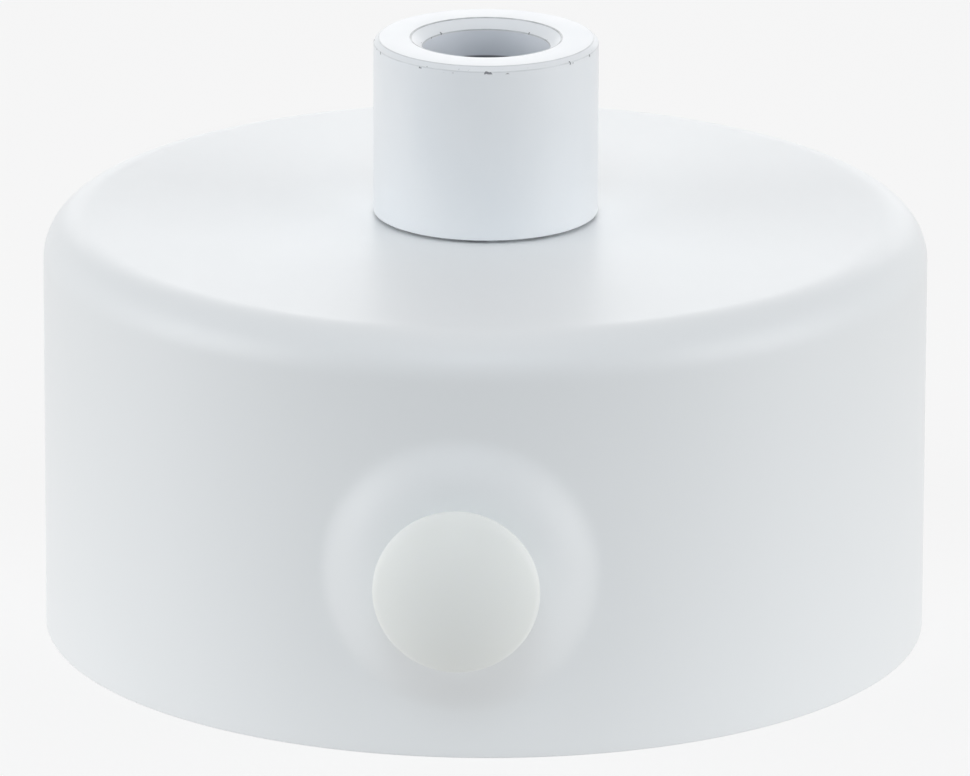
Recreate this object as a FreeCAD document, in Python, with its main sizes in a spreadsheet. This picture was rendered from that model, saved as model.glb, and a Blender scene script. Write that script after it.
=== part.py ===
"""Small ceiling rose: an embossed steel cup with a turned collar, fixed by a side knob to a strip bracket.

The origin is the centre of the open rim, +Z runs up through the collar, and the knob faces -Y.
Lengths are in millimetres and angles in degrees.
"""
import FreeCAD, Part
import math
import os
import Sketcher

# Driving sizes of the drawn cup and the round boss embossed in its wall
SIZES = {
    "body_diameter": 80.0,
    "body_height": 38.5,
    "cup_wall": 1.0,
    "edge_radius": 4.0,
    "boss_raise": 1.7,
    "boss_flat_radius": 3.5,
    "boss_foot_radius": 12.7,
    "boss_margin": 0.9,
    "boss_grid_step": 0.8,
    "knob_height": 16.95,
    "stud_hole_gap": 0.3,
    "nipple_hole_gap": 0.2,
    # Turned collar and the threaded tube that draws it down on the cup
    "collar_diameter": 20.3,
    "collar_height": 16.45,
    "collar_chamfer": 0.45,
    "collar_foot_rise": 0.3,
    "collar_foot_depth": 0.6,
    "bore_diameter": 11.5,
    "bore_depth": 9.0,
    "bore_chamfer_width": 1.05,
    "bore_chamfer_depth": 0.85,
    "nipple_diameter": 10.0,
    "nipple_bore": 8.0,
    "nipple_setback": 0.5,
    "nipple_chamfer": 0.4,
    "thread_gap": 0.03,
    # Toothed washer, earth tag and nut under the cup's plate
    "lock_washer_thickness": 0.9,
    "lock_ring_diameter": 15.0,
    "lock_tooth_diameter": 18.4,
    "lock_tooth_width": 2.0,
    "lock_tooth_count": 12,
    "tag_thickness": 0.8,
    "tag_ring_diameter": 16.0,
    "tag_width": 8.0,
    "tag_reach": 13.0,
    "tag_drop": 12.0,
    "tag_bend_radius": 0.8,
    "tag_screw_drop": 7.2,
    "tag_screw_length": 3.2,
    "nut_flats": 14.0,
    "nut_thickness": 3.0,
    "nut_chamfer": 0.7,
    # Moulded cord clamp on the inner end of the threaded tube
    "clamp_diameter": 16.0,
    "clamp_nut_gap": 0.8,
    "clamp_cord_room": 2.1,
    "clamp_seat": 8.0,
    "clamp_edge": 0.8,
    "clamp_passage": 8.0,
    "clamp_flats": 14.0,
    "clamp_flats_height": 6.0,
    "clamp_tower_diameter": 8.2,
    "clamp_tower_reach": 10.6,
    "clamp_screw_rise": 4.2,
    "clamp_screw_diameter": 5.0,
    "clamp_screw_length": 8.4,
    "clamp_screw_head": 8.0,
    "clamp_screw_head_height": 2.8,
    # Strip bracket with two turned-up ears
    "strip_thickness": 1.5,
    "strip_width": 14.0,
    "strip_bend_radius": 1.5,
    "ear_top": 24.0,
    "ear_corner_radius": 4.0,
    "ear_gap": 0.3,
    "slot_spacing": 54.0,
    "slot_width": 4.5,
    "slot_length": 10.0,
    "ceiling_gap": 0.2,
    # Press nut in the front ear and locating pin in the rear ear
    "press_nut_flats": 7.0,
    "press_nut_height": 3.2,
    "press_nut_shank": 5.6,
    "pin_diameter": 4.0,
    "pin_head_diameter": 6.4,
    "pin_head_height": 1.1,
    "pin_rounding": 0.4,
    "pin_hole_gap": 0.2,
    # Knob, its steel stud and the saddle washer behind it
    "stud_diameter": 4.0,
    "stud_fit_gap": 0.05,
    "stud_past_nut": 0.2,
    "stud_chamfer": 0.5,
    "stud_in_knob": 3.6,
    "saddle_gap": 0.3,
    "saddle_thickness": 0.8,
    "saddle_diameter": 9.2,
    "saddle_hole_gap": 0.3,
    "knob_back_gap": 0.05,
    "knob_back_diameter": 10.8,
    "knob_rim_diameter": 16.2,
    "knob_rim_rise": 1.7,
    "knob_rim_round": 1.1,
    "knob_dome_height": 3.3,
    # Three-pole terminal block with brass sleeves
    "block_offset": -7.0,
    "pole_count": 3,
    "pole_pitch": 9.0,
    "block_width": 16.0,
    "block_shoulder": 6.6,
    "block_height": 12.4,
    "tower_width": 11.6,
    "tower_gap": 2.6,
    "sleeve_diameter": 4.9,
    "sleeve_length": 13.6,
    "sleeve_bore": 3.2,
    "sleeve_height": 3.8,
    "sleeve_gap": 0.05,
    "sleeve_screw_place": 3.2,
    "well_diameter": 4.2,
    "terminal_screw_diameter": 3.0,
    "terminal_screw_length": 3.4,
    "terminal_head_diameter": 3.8,
    "terminal_head_height": 1.6,
    "fixing_screw_diameter": 3.0,
    "fixing_head_diameter": 5.2,
    "fixing_head_height": 2.0,
    "fixing_hole_gap": 0.15,
    "fixing_well_diameter": 6.0,
    # Earth terminal on the strip and the screws with slotted heads
    "earth_place": 14.2,
    "earth_screw_diameter": 4.0,
    "earth_head_diameter": 7.4,
    "earth_head_height": 2.5,
    "cup_washer_diameter": 9.4,
    "cup_washer_thickness": 0.9,
    "cup_washer_lip": 0.6,
    "screw_slot_width": 0.9,
    "screw_slot_depth": 1.1,
    "screw_head_edge": 0.5,
}

document = FreeCAD.newDocument("ceiling_rose")
sheet = document.addObject("Spreadsheet::Sheet", "Sizes")
finished_parts = []


class Size:
    """A length that carries the sheet formula it comes from."""

    def __init__(self, value, formula):
        self.value = float(value)
        self.formula = formula

    def __add__(self, other):
        other = as_size(other)
        return Size(self.value + other.value, "(%s + %s)" % (self.formula, other.formula))

    def __sub__(self, other):
        other = as_size(other)
        return Size(self.value - other.value, "(%s - %s)" % (self.formula, other.formula))

    def __mul__(self, other):
        other = as_size(other)
        return Size(self.value * other.value, "(%s * %s)" % (self.formula, other.formula))

    def __truediv__(self, other):
        other = as_size(other)
        return Size(self.value / other.value, "(%s / %s)" % (self.formula, other.formula))

    def __neg__(self):
        return Size(-self.value, "(0 - %s)" % self.formula)


def as_size(number):
    """Give a plain number the same form as a sheet size."""
    if isinstance(number, Size):
        return number
    return Size(number, "(%.6f)" % number)


def root(size):
    """Square root of a size, with its formula."""
    return Size(math.sqrt(size.value), "sqrt(%s)" % size.formula)


def fill_sheet():
    """Write the driving sizes into the sheet and return them by name."""
    sizes = {}
    for row, (name, number) in enumerate(SIZES.items(), start=1):
        sheet.set("A%d" % row, name)
        sheet.set("B%d" % row, str(number))
        sheet.setAlias("B%d" % row, name)
        sizes[name] = Size(number, "Sizes.%s" % name)
    document.recompute()
    return sizes


def bind(item, path, size):
    """Tie one property of an object to its sheet formula."""
    item.setExpression(path, as_size(size).formula)


def place(item, x=0, y=0, z=0, turn_axis=(0, 0, 1), turn_angle=0):
    """Put an object at a place bound to the sheet, turned about one axis."""
    spot = [as_size(number) for number in (x, y, z)]
    base = FreeCAD.Vector(*[number.value for number in spot])
    turn = FreeCAD.Rotation(FreeCAD.Vector(*turn_axis), turn_angle)
    item.Placement = FreeCAD.Placement(base, turn)
    for letter, number in zip("xyz", spot):
        bind(item, "Placement.Base." + letter, number)


FACING_FRONT = {"turn_axis": (1, 0, 0), "turn_angle": 90}
FACING_BACK = {"turn_axis": (1, 0, 0), "turn_angle": -90}
FACING_RIGHT = {"turn_axis": (0, 1, 0), "turn_angle": 90}
FACING_LEFT = {"turn_axis": (0, 1, 0), "turn_angle": -90}


def new_body(label):
    """Start a body that becomes one finished sub-part."""
    body = document.addObject("PartDesign::Body", label)
    body.Label = label
    finished_parts.append(body)
    return body


def new_sketch(body, plane="XZ_Plane", offset=0):
    """Start a sketch on one of the body's own origin planes, moved along its normal."""
    sketch = body.newObject("Sketcher::SketchObject", body.Label + "_sketch")
    for feature in body.Origin.OriginFeatures:
        if feature.Role == plane:
            sketch.AttachmentSupport = [(feature, "")]
    sketch.MapMode = "FlatFace"
    offset = as_size(offset)
    sketch.AttachmentOffset = FreeCAD.Placement(FreeCAD.Vector(0, 0, offset.value), FreeCAD.Rotation())
    bind(sketch, "AttachmentOffset.Base.z", offset)
    return sketch


def constrain(sketch, kind, size, *where):
    """Add a constraint whose value is bound to the sheet."""
    index = sketch.addConstraint(Sketcher.Constraint(kind, *where, as_size(size).value))
    bind(sketch, "Constraints[%d]" % index, size)


def pin_point(sketch, edge, end, x, y):
    """Fix a sketch point at a place bound to the sheet."""
    for kind, number, axis in (("DistanceX", x, -2), ("DistanceY", y, -1)):
        if isinstance(number, Size):
            constrain(sketch, kind, number, edge, end)
        else:
            assert number == 0, "only an axis may be given as a plain number"
            sketch.addConstraint(Sketcher.Constraint("PointOnObject", edge, end, axis))


def arc_between(start, end, radius):
    """Arc of a given radius, turning left where it is positive and right where it is negative."""
    chord = end - start
    half = chord.Length / 2
    rise = math.sqrt(max(radius * radius - half * half, 0.0))
    left = FreeCAD.Vector(-chord.y, chord.x, 0).normalize()
    turn = 1 if radius > 0 else -1
    centre = (start + end) * 0.5 + left * rise * turn
    circle = Part.Circle(centre, FreeCAD.Vector(0, 0, 1), abs(radius))
    first, last = (start, end) if turn > 0 else (end, start)
    return Part.ArcOfCircle(circle, circle.parameter(first), circle.parameter(last))


def outline(sketch, corners):
    """Close a loop through corners (x, y), or (x, y, radius) where an arc leaves the corner."""
    first = sketch.GeometryCount
    count = len(corners)
    points = [FreeCAD.Vector(as_size(x).value, as_size(y).value, 0) for x, y, *_ in corners]
    ends = []
    for index, corner in enumerate(corners):
        start, end = points[index], points[(index + 1) % count]
        if len(corner) == 2:
            sketch.addGeometry(Part.LineSegment(start, end))
            ends.append((1, 2))
        else:
            sketch.addGeometry(arc_between(start, end, corner[2].value))
            ends.append((1, 2) if corner[2].value > 0 else (2, 1))
    for index in range(count):
        following = (index + 1) % count
        link = (first + index, ends[index][1], first + following, ends[following][0])
        sketch.addConstraint(Sketcher.Constraint("Coincident", *link))
    for index, corner in enumerate(corners):
        pin_point(sketch, first + index, ends[index][0], corner[0], corner[1])
        if len(corner) == 3:
            radius = corner[2] if corner[2].value > 0 else -corner[2]
            constrain(sketch, "Radius", radius, first + index)


def circle(sketch, radius, x=0, y=0):
    """Draw a full circle with a bound radius and centre."""
    edge = sketch.GeometryCount
    centre = FreeCAD.Vector(as_size(x).value, as_size(y).value, 0)
    sketch.addGeometry(Part.Circle(centre, FreeCAD.Vector(0, 0, 1), radius.value))
    pin_point(sketch, edge, 3, x, y)
    constrain(sketch, "Radius", radius, edge)


def rectangle(sketch, left, right, bottom, top):
    """Draw a rectangle from its four sides."""
    outline(sketch, [(left, bottom), (right, bottom), (right, top), (left, top)])


def slot(sketch, radius, low, high):
    """Draw a slot along the sketch's y axis from its two end centres."""
    first = sketch.GeometryCount
    right_side, top_end, left_side, bottom_end = range(first, first + 4)
    corners = [FreeCAD.Vector(radius.value * side, level.value, 0)
               for side, level in ((1, low), (1, high), (-1, high), (-1, low))]
    sketch.addGeometry(Part.LineSegment(corners[0], corners[1]))
    sketch.addGeometry(arc_between(corners[1], corners[2], radius.value))
    sketch.addGeometry(Part.LineSegment(corners[2], corners[3]))
    sketch.addGeometry(arc_between(corners[3], corners[0], radius.value))
    for edge, following in ((right_side, top_end), (top_end, left_side), (left_side, bottom_end),
                            (bottom_end, right_side)):
        sketch.addConstraint(Sketcher.Constraint("Coincident", edge, 2, following, 1))
    for edge, level in ((top_end, high), (bottom_end, low)):
        pin_point(sketch, edge, 3, 0, level)
        constrain(sketch, "Radius", radius, edge)
        for end in (1, 2):
            constrain(sketch, "DistanceY", level, edge, end)


def hexagon(sketch, flats):
    """Draw a hexagon with two corners on the sketch's x axis."""
    half = flats / 2
    corner = half * (2 / math.sqrt(3))
    side = corner / 2
    outline(sketch, [(corner, 0), (side, half), (-side, half), (-corner, 0), (-side, -half), (side, -half)])


def shape_feature(body, kind, sketch):
    """Add a PartDesign feature that works from one sketch."""
    feature = body.newObject("PartDesign::" + kind, body.Label + "_" + kind.lower())
    feature.Profile = sketch
    body.Tip = feature
    return feature


def pad(body, sketch, length, both_ways=False, reverse=False):
    """Raise a sketch into solid material."""
    feature = shape_feature(body, "Pad", sketch)
    bind(feature, "Length", length)
    feature.Midplane = both_ways
    feature.Reversed = reverse
    return feature


def pocket(body, sketch, depth=None, both_ways=False, reverse=False):
    """Cut a sketch away, right through where no depth is given."""
    feature = shape_feature(body, "Pocket", sketch)
    if depth is None:
        feature.Type = "ThroughAll"
    else:
        bind(feature, "Length", depth)
    feature.Midplane = both_ways
    feature.Reversed = reverse
    return feature


def turn(body, corners, kind="Revolution"):
    """Revolve an outline, given as radius and height, about the body's z axis."""
    sketch = new_sketch(body, "XZ_Plane")
    outline(sketch, corners)
    feature = shape_feature(body, kind, sketch)
    feature.ReferenceAxis = (sketch, ["V_Axis"])
    feature.Angle = 360
    return feature


def turned_body(label, corners):
    """Make a body that is one turned form."""
    body = new_body(label)
    turn(body, corners)
    return body


def pattern(body, kind, feature, axis, extent, count):
    """Repeat a feature along or round one of the body's axes."""
    copies = body.newObject("PartDesign::" + kind, body.Label + "_pattern")
    copies.Originals = [feature]
    for origin_feature in body.Origin.OriginFeatures:
        if origin_feature.Role == axis:
            if kind == "PolarPattern":
                copies.Axis = (origin_feature, [""])
            else:
                copies.Direction = (origin_feature, [""])
    bind(copies, "Angle" if kind == "PolarPattern" else "Length", extent)
    bind(copies, "Occurrences", count)
    body.Tip = copies
    return copies


def round_edges(body, radius, wanted):
    """Fillet the edges of a body that pass a test."""
    document.recompute()
    base = body.Tip
    names = ["Edge%d" % (i + 1) for i, edge in enumerate(base.Shape.Edges)
             if not edge.Degenerated and wanted(edge)]
    feature = body.newObject("PartDesign::Fillet", body.Label + "_fillet")
    feature.Base = (base, names)
    bind(feature, "Radius", radius)
    body.Tip = feature
    return feature


def screw(label, diameter, length, head_diameter, head_height):
    """Slotted screw: the head stands on z = 0 and the shank points down."""
    radius = diameter / 2
    head_radius = head_diameter / 2
    head_edge = size["screw_head_edge"]
    slot_depth = size["screw_slot_depth"]
    body = turned_body(label, [
        (0, -length),
        (radius - head_edge, -length),
        (radius, head_edge - length),
        (radius, 0),
        (head_radius, 0),
        (head_radius, head_height - head_edge),
        (head_radius - head_edge, head_height),
        (0, head_height),
    ])
    sketch = new_sketch(body, "XZ_Plane")
    half = size["screw_slot_width"] / 2
    rectangle(sketch, -half, half, head_height - slot_depth, head_height + slot_depth)
    pocket(body, sketch, both_ways=True)
    return body


size = fill_sheet()

# Main radii and levels that several sub-parts share
body_radius = size["body_diameter"] / 2
inner_radius = body_radius - size["cup_wall"]
plate_top = size["body_height"]
plate_under = size["body_height"] - size["cup_wall"]
boss_face = body_radius + size["boss_raise"]
stud_radius = size["stud_diameter"] / 2
pin_radius = size["pin_diameter"] / 2
nipple_radius = size["nipple_diameter"] / 2
thread_radius = nipple_radius + size["thread_gap"]
nipple_hole_radius = nipple_radius + size["nipple_hole_gap"]
half_strip = size["strip_width"] / 2
ear_face = root(inner_radius * inner_radius - half_strip * half_strip) - size["ear_gap"]
ear_inside = ear_face - size["strip_thickness"]
lock_washer_bottom = plate_under - size["lock_washer_thickness"]
tag_bottom = lock_washer_bottom - size["tag_thickness"]
nut_bottom = tag_bottom - size["nut_thickness"]
saddle_front = boss_face + size["saddle_gap"] + size["saddle_thickness"]
knob_back = saddle_front + size["knob_back_gap"]
block_base = size["strip_thickness"]
clamp_bottom = block_base + size["block_height"] + size["clamp_cord_room"]
clamp_height = nut_bottom - size["clamp_nut_gap"] - clamp_bottom
nipple_top = plate_top + size["collar_height"] - size["bore_depth"] - size["nipple_setback"]
nipple_bottom = clamp_bottom + size["clamp_seat"]


def boss_height_share(distance):
    """Share of the boss's full height at a distance from its centre: a low dome with a tight foot."""
    flat, foot = SIZES["boss_flat_radius"], SIZES["boss_foot_radius"]
    fall = min(max((distance - flat) / (foot - flat), 0.0), 1.0) ** 2
    return 1 - fall * fall * (3 - 2 * fall)


def boss_point(radius, along, up):
    """Point of the embossed wall, given by its arc length and its height from the boss's centre."""
    angle = along / body_radius.value
    reach = radius + SIZES["boss_raise"] * boss_height_share(math.hypot(along, up))
    return FreeCAD.Vector(reach * math.sin(angle), -reach * math.cos(angle), SIZES["knob_height"] + up)


def boss_skin(radius, half_span):
    """Curved face of the embossed patch: a cylinder wall that swells out round the boss's centre."""
    steps = 2 * math.ceil(half_span / SIZES["boss_grid_step"])
    offsets = [half_span * (2 * i / steps - 1) for i in range(steps + 1)]
    surface = Part.BSplineSurface()
    surface.interpolate([[boss_point(radius, along, up) for up in offsets] for along in offsets])
    return surface.toShape()


def patch_corner(half_span, side, level):
    """Straight edge through the wall at one corner of the patch."""
    ends = [boss_point(radius.value, half_span * side, half_span * level)
            for radius in (body_radius, inner_radius)]
    return Part.makeLine(*ends)


def border_edge(skin, middle):
    """The border edge of a skin whose middle is nearest to a point."""
    def distance(edge):
        return edge.valueAt(sum(edge.ParameterRange) / 2).distanceToPoint(middle)
    return min(skin.Edges, key=distance)


def embossed_patch(half_span):
    """Piece of the cup's wall that carries the boss, as thick as the wall."""
    radii = (body_radius.value, inner_radius.value)
    skins = [boss_skin(radius, half_span) for radius in radii]
    corners = {(side, level): patch_corner(half_span, side, level) for side in (-1, 1) for level in (-1, 1)}
    faces = list(skins)
    for direction in (-1, 1):
        reach = half_span * direction
        for along, up, ends in ((0, reach, [(-1, direction), (1, direction)]),
                                (reach, 0, [(direction, -1), (direction, 1)])):
            border = [border_edge(skin, boss_point(radius, along, up)) for skin, radius in zip(skins, radii)]
            border += [corners[end] for end in ends]
            faces.append(Part.Face(Part.Wire(Part.__sortEdges__(border))))
    shell = Part.makeShell(faces)
    shell.sewShape()
    solid = Part.makeSolid(shell)
    if solid.Volume < 0:
        solid.reverse()
    return solid


def patch_window(half_span):
    """Wedge that clears the plain wall where the embossed patch goes."""
    angle = math.degrees(half_span / body_radius.value)
    reach = boss_face.value + 1
    wedge = Part.makeCylinder(
        reach, 2 * half_span, FreeCAD.Vector(0, 0, SIZES["knob_height"] - half_span),
        FreeCAD.Vector(0, 0, 1), 2 * angle)
    wedge.rotate(FreeCAD.Vector(0, 0, 0), FreeCAD.Vector(0, 0, 1), -90 - angle)
    core = Part.makeCylinder(inner_radius.value / 2, SIZES["body_height"])
    return wedge.cut(core)


def part_cylinder(name, radius, height, **where):
    """Part cylinder bound to the sheet."""
    item = document.addObject("Part::Cylinder", name)
    bind(item, "Radius", radius)
    bind(item, "Height", height)
    place(item, **where)
    return item


def part_boolean(kind, name, base, tool):
    """Part boolean of two objects."""
    item = document.addObject("Part::" + kind, name)
    item.Base = base
    item.Tool = tool
    return item


def make_canopy_cup():
    """Drawn cup with a rounded edge, a boss embossed in the front wall and three round holes."""
    edge = size["edge_radius"]
    inner_edge = edge - size["cup_wall"]
    section = document.addObject("PartDesign::Body", "cup_section")
    section.Label = "cup_section"
    turn(section, [
        (inner_radius, 0),
        (body_radius, 0),
        (body_radius, plate_top - edge, edge),
        (body_radius - edge, plate_top),
        (nipple_hole_radius, plate_top),
        (nipple_hole_radius, plate_under),
        (inner_radius - inner_edge, plate_under, -inner_edge),
        (inner_radius, plate_under - inner_edge),
    ])
    half_span = SIZES["boss_foot_radius"] + SIZES["boss_margin"]
    window = document.addObject("Part::Feature", "boss_window")
    window.Shape = patch_window(half_span)
    patch = document.addObject("Part::Feature", "boss_patch")
    patch.Shape = embossed_patch(half_span)
    opened = part_boolean("Cut", "opened_wall", section, window)
    level = size["knob_height"]
    stud_hole = part_cylinder(
        "stud_hole", stud_radius + size["stud_hole_gap"], body_radius + edge, z=level, **FACING_FRONT)
    drilled_patch = part_boolean("Cut", "drilled_patch", patch, stud_hole)
    embossed = part_boolean("Fuse", "embossed_wall", opened, drilled_patch)
    pin_hole = part_cylinder(
        "pin_hole", pin_radius + size["pin_hole_gap"], body_radius + edge, z=level, **FACING_BACK)
    cup = part_boolean("Cut", "canopy_cup", embossed, pin_hole)
    cup.Label = "canopy_cup"
    finished_parts.append(cup)


def make_top_collar():
    """Turned collar: a relieved foot with a thread below, a chamfered bore above."""
    radius = size["collar_diameter"] / 2
    height = size["collar_height"]
    bore = size["bore_diameter"] / 2
    rim = size["collar_chamfer"]
    foot_radius = radius - size["collar_foot_depth"]
    foot_rise = size["collar_foot_rise"]
    floor = height - size["bore_depth"]
    collar = turned_body("top_collar", [
        (thread_radius, 0),
        (foot_radius, 0),
        (foot_radius, foot_rise),
        (radius, foot_rise),
        (radius, height - rim),
        (radius - rim, height),
        (bore + size["bore_chamfer_width"], height),
        (bore, height - size["bore_chamfer_depth"]),
        (bore, floor),
        (thread_radius, floor),
    ])
    place(collar, z=plate_top)


def make_threaded_nipple():
    """Hollow threaded tube that joins collar, cup, nut and cord clamp."""
    hollow = size["nipple_bore"] / 2
    bevel = size["nipple_chamfer"]
    length = nipple_top - nipple_bottom
    nipple = turned_body("threaded_nipple", [
        (hollow, 0),
        (nipple_radius - bevel, 0),
        (nipple_radius, bevel),
        (nipple_radius, length - bevel),
        (nipple_radius - bevel, length),
        (hollow, length),
    ])
    place(nipple, z=nipple_bottom)


def make_lock_washer():
    """Spring washer with teeth round its rim."""
    ring = size["lock_ring_diameter"] / 2
    tip = size["lock_tooth_diameter"] / 2
    half = size["lock_tooth_width"] / 2
    body = new_body("lock_washer")
    sketch = new_sketch(body, "XY_Plane")
    circle(sketch, ring)
    circle(sketch, nipple_hole_radius)
    pad(body, sketch, size["lock_washer_thickness"])
    tooth_sketch = new_sketch(body, "XY_Plane")
    outline(tooth_sketch, [(ring - half, -half), (tip, -half / 2), (tip, half / 2), (ring - half, half)])
    tooth = pad(body, tooth_sketch, size["lock_washer_thickness"])
    pattern(body, "PolarPattern", tooth, "Z_Axis", 360, size["lock_tooth_count"])
    place(body, z=lock_washer_bottom)


def make_earth_tag():
    """Flat ring under the cup's plate with a tongue bent down for the earth screw."""
    sheet_thickness = size["tag_thickness"]
    bend_in = size["tag_bend_radius"]
    bend_out = bend_in + sheet_thickness
    face = size["tag_reach"]
    body = new_body("earth_tag")
    ring = new_sketch(body, "XY_Plane")
    circle(ring, size["tag_ring_diameter"] / 2)
    pad(body, ring, sheet_thickness)
    tongue = new_sketch(body, "XZ_Plane")
    drop = sheet_thickness - size["tag_drop"]
    outline(tongue, [
        (0, 0),
        (face - bend_out, 0, -bend_in),
        (face - sheet_thickness, -bend_in),
        (face - sheet_thickness, drop),
        (face, drop),
        (face, sheet_thickness - bend_out, bend_out),
        (face - bend_out, sheet_thickness),
        (0, sheet_thickness),
    ])
    pad(body, tongue, size["tag_width"], both_ways=True)
    nipple_hole = new_sketch(body, "XY_Plane")
    circle(nipple_hole, nipple_hole_radius)
    pocket(body, nipple_hole, both_ways=True)
    screw_hole = new_sketch(body, "YZ_Plane", face)
    earth_radius = size["earth_screw_diameter"] / 2 + size["thread_gap"]
    circle(screw_hole, earth_radius, 0, sheet_thickness - size["tag_screw_drop"])
    pocket(body, screw_hole, sheet_thickness * 2)
    round_edges(body, size["tag_width"] / 4, lambda edge: is_along(edge, "x")
                and edge.BoundBox.ZMax < drop.value + 0.01 and edge.BoundBox.XMin > 0)
    place(body, z=tag_bottom)


def is_along(edge, letter):
    """Tell whether a straight edge runs along one axis."""
    if not isinstance(edge.Curve, Part.Line):
        return False
    return abs(abs(getattr(edge.Curve.Direction, letter)) - 1) < 1e-6


def make_earth_tag_screw():
    """Earth screw in the tongue of the tag."""
    body = screw(
        "earth_tag_screw", size["earth_screw_diameter"], size["tag_screw_length"],
        size["earth_head_diameter"], size["earth_head_height"])
    level = tag_bottom + size["tag_thickness"] - size["tag_screw_drop"]
    place(body, x=size["tag_reach"], z=level, **FACING_RIGHT)


def make_nipple_nut():
    """Hexagon nut with both faces chamfered."""
    body = new_body("nipple_nut")
    flats = size["nut_flats"]
    corner = flats / math.sqrt(3)
    bevel = size["nut_chamfer"]
    height = size["nut_thickness"]
    slope = bevel / 2
    turn(body, [
        (thread_radius, 0),
        (corner - bevel, 0),
        (corner, slope),
        (corner, height - slope),
        (corner - bevel, height),
        (thread_radius, height),
    ])
    sides = new_sketch(body, "XY_Plane")
    circle(sides, flats)
    hexagon(sides, flats)
    pocket(body, sides, both_ways=True)
    place(body, z=nut_bottom)


def make_cord_clamp_body():
    """Moulded clamp: screws on the tube, and its side tower holds the clamp screw."""
    outer = size["clamp_diameter"] / 2
    height = clamp_height
    passage = size["clamp_passage"] / 2
    edge = size["clamp_edge"]
    seat = size["clamp_seat"]
    rise = size["clamp_screw_rise"]
    body = turned_body("cord_clamp_body", [
        (passage + edge, 0),
        (outer - edge, 0),
        (outer, edge),
        (outer, height - edge),
        (outer - edge, height),
        (thread_radius, height),
        (thread_radius, seat),
        (passage, seat),
        (passage, edge),
    ])
    tower_root = thread_radius + edge
    tower = new_sketch(body, "YZ_Plane", -tower_root)
    circle(tower, size["clamp_tower_diameter"] / 2, 0, rise)
    pad(body, tower, size["clamp_tower_reach"] - tower_root, reverse=True)
    bore = new_sketch(body, "YZ_Plane")
    circle(bore, size["clamp_screw_diameter"] / 2 + size["thread_gap"], 0, rise)
    pocket(body, bore)
    flat = size["clamp_flats"] / 2
    for side in (1, -1):
        sides = new_sketch(body, "XY_Plane", height)
        near, far = flat * side, size["clamp_diameter"] * side
        rectangle(sides, -outer, outer, near, far)
        pocket(body, sides, size["clamp_flats_height"])
    place(body, z=clamp_bottom)


def make_cord_clamp_screw():
    """Moulded screw that presses on the cord, here backed out to the wall of the passage."""
    body = screw(
        "cord_clamp_screw", size["clamp_screw_diameter"], size["clamp_screw_length"],
        size["clamp_screw_head"], size["clamp_screw_head_height"])
    head_place = -(size["clamp_passage"] / 2 + size["clamp_screw_length"])
    place(body, x=head_place, z=clamp_bottom + size["clamp_screw_rise"], **FACING_LEFT)


def fixing_places():
    """Places of the block's two fixing screws along the strip."""
    half_pitch = size["pole_pitch"] / 2
    return [size["block_offset"] - half_pitch, size["block_offset"] + half_pitch]


def make_ceiling_bracket():
    """Flat strip against the ceiling with both ends turned up."""
    sheet_thickness = size["strip_thickness"]
    bend_in = size["strip_bend_radius"]
    bend_out = bend_in + sheet_thickness
    top = size["ear_top"]
    body = new_body("ceiling_bracket")
    section = new_sketch(body, "YZ_Plane")
    outline(section, [
        (bend_out - ear_face, 0),
        (ear_face - bend_out, 0, bend_out),
        (ear_face, bend_out),
        (ear_face, top),
        (ear_inside, top),
        (ear_inside, bend_out, -bend_in),
        (ear_face - bend_out, sheet_thickness),
        (bend_out - ear_face, sheet_thickness, -bend_in),
        (-ear_inside, bend_out),
        (-ear_inside, top),
        (-ear_face, top),
        (-ear_face, bend_out, bend_out),
    ])
    pad(body, section, size["strip_width"], both_ways=True)
    holes = new_sketch(body, "XY_Plane")
    slot_half = size["slot_width"] / 2
    straight = size["slot_length"] / 2 - slot_half
    for side in (-1, 1):
        middle = size["slot_spacing"] / 2 * side
        slot(holes, slot_half, middle - straight, middle + straight)
    circle(holes, size["earth_screw_diameter"] / 2 + size["thread_gap"], 0, size["earth_place"])
    for spot in fixing_places():
        circle(holes, size["fixing_screw_diameter"] / 2 + size["thread_gap"], 0, spot)
    pocket(body, holes, sheet_thickness, reverse=True)
    for face_side, radius in ((1, size["press_nut_shank"] / 2), (-1, pin_radius)):
        ear_hole = new_sketch(body, "XZ_Plane", ear_face * face_side)
        circle(ear_hole, radius + size["thread_gap"], 0, size["knob_height"])
        pocket(body, ear_hole, sheet_thickness, reverse=face_side < 0)
    round_edges(body, size["ear_corner_radius"], lambda edge: is_along(edge, "y")
                and edge.BoundBox.ZMin > top.value - 0.01)


def make_press_nut():
    """Hexagon press nut: its shank fills the hole of the front ear."""
    shank = size["strip_thickness"]
    bore = stud_radius + size["stud_fit_gap"]
    body = new_body("press_nut")
    collar = new_sketch(body, "XY_Plane")
    circle(collar, size["press_nut_shank"] / 2)
    pad(body, collar, shank, reverse=True)
    head = new_sketch(body, "XY_Plane", -shank)
    hexagon(head, size["press_nut_flats"])
    pad(body, head, size["press_nut_height"], reverse=True)
    hole = new_sketch(body, "XY_Plane")
    circle(hole, bore)
    pocket(body, hole)
    place(body, y=-ear_face, z=size["knob_height"], **FACING_FRONT)


def make_locating_pin():
    """Riveted pin of the rear ear, which carries the back of the cup."""
    head = size["pin_head_diameter"] / 2
    rounding = size["pin_rounding"]
    length = body_radius - ear_inside
    body = turned_body("locating_pin", [
        (0, -size["pin_head_height"]),
        (head - rounding, -size["pin_head_height"], rounding),
        (head, rounding - size["pin_head_height"]),
        (head, 0),
        (pin_radius, 0),
        (pin_radius, length - rounding, rounding),
        (pin_radius - rounding, length),
        (0, length),
    ])
    place(body, y=ear_inside, z=size["knob_height"], **FACING_BACK)


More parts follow.
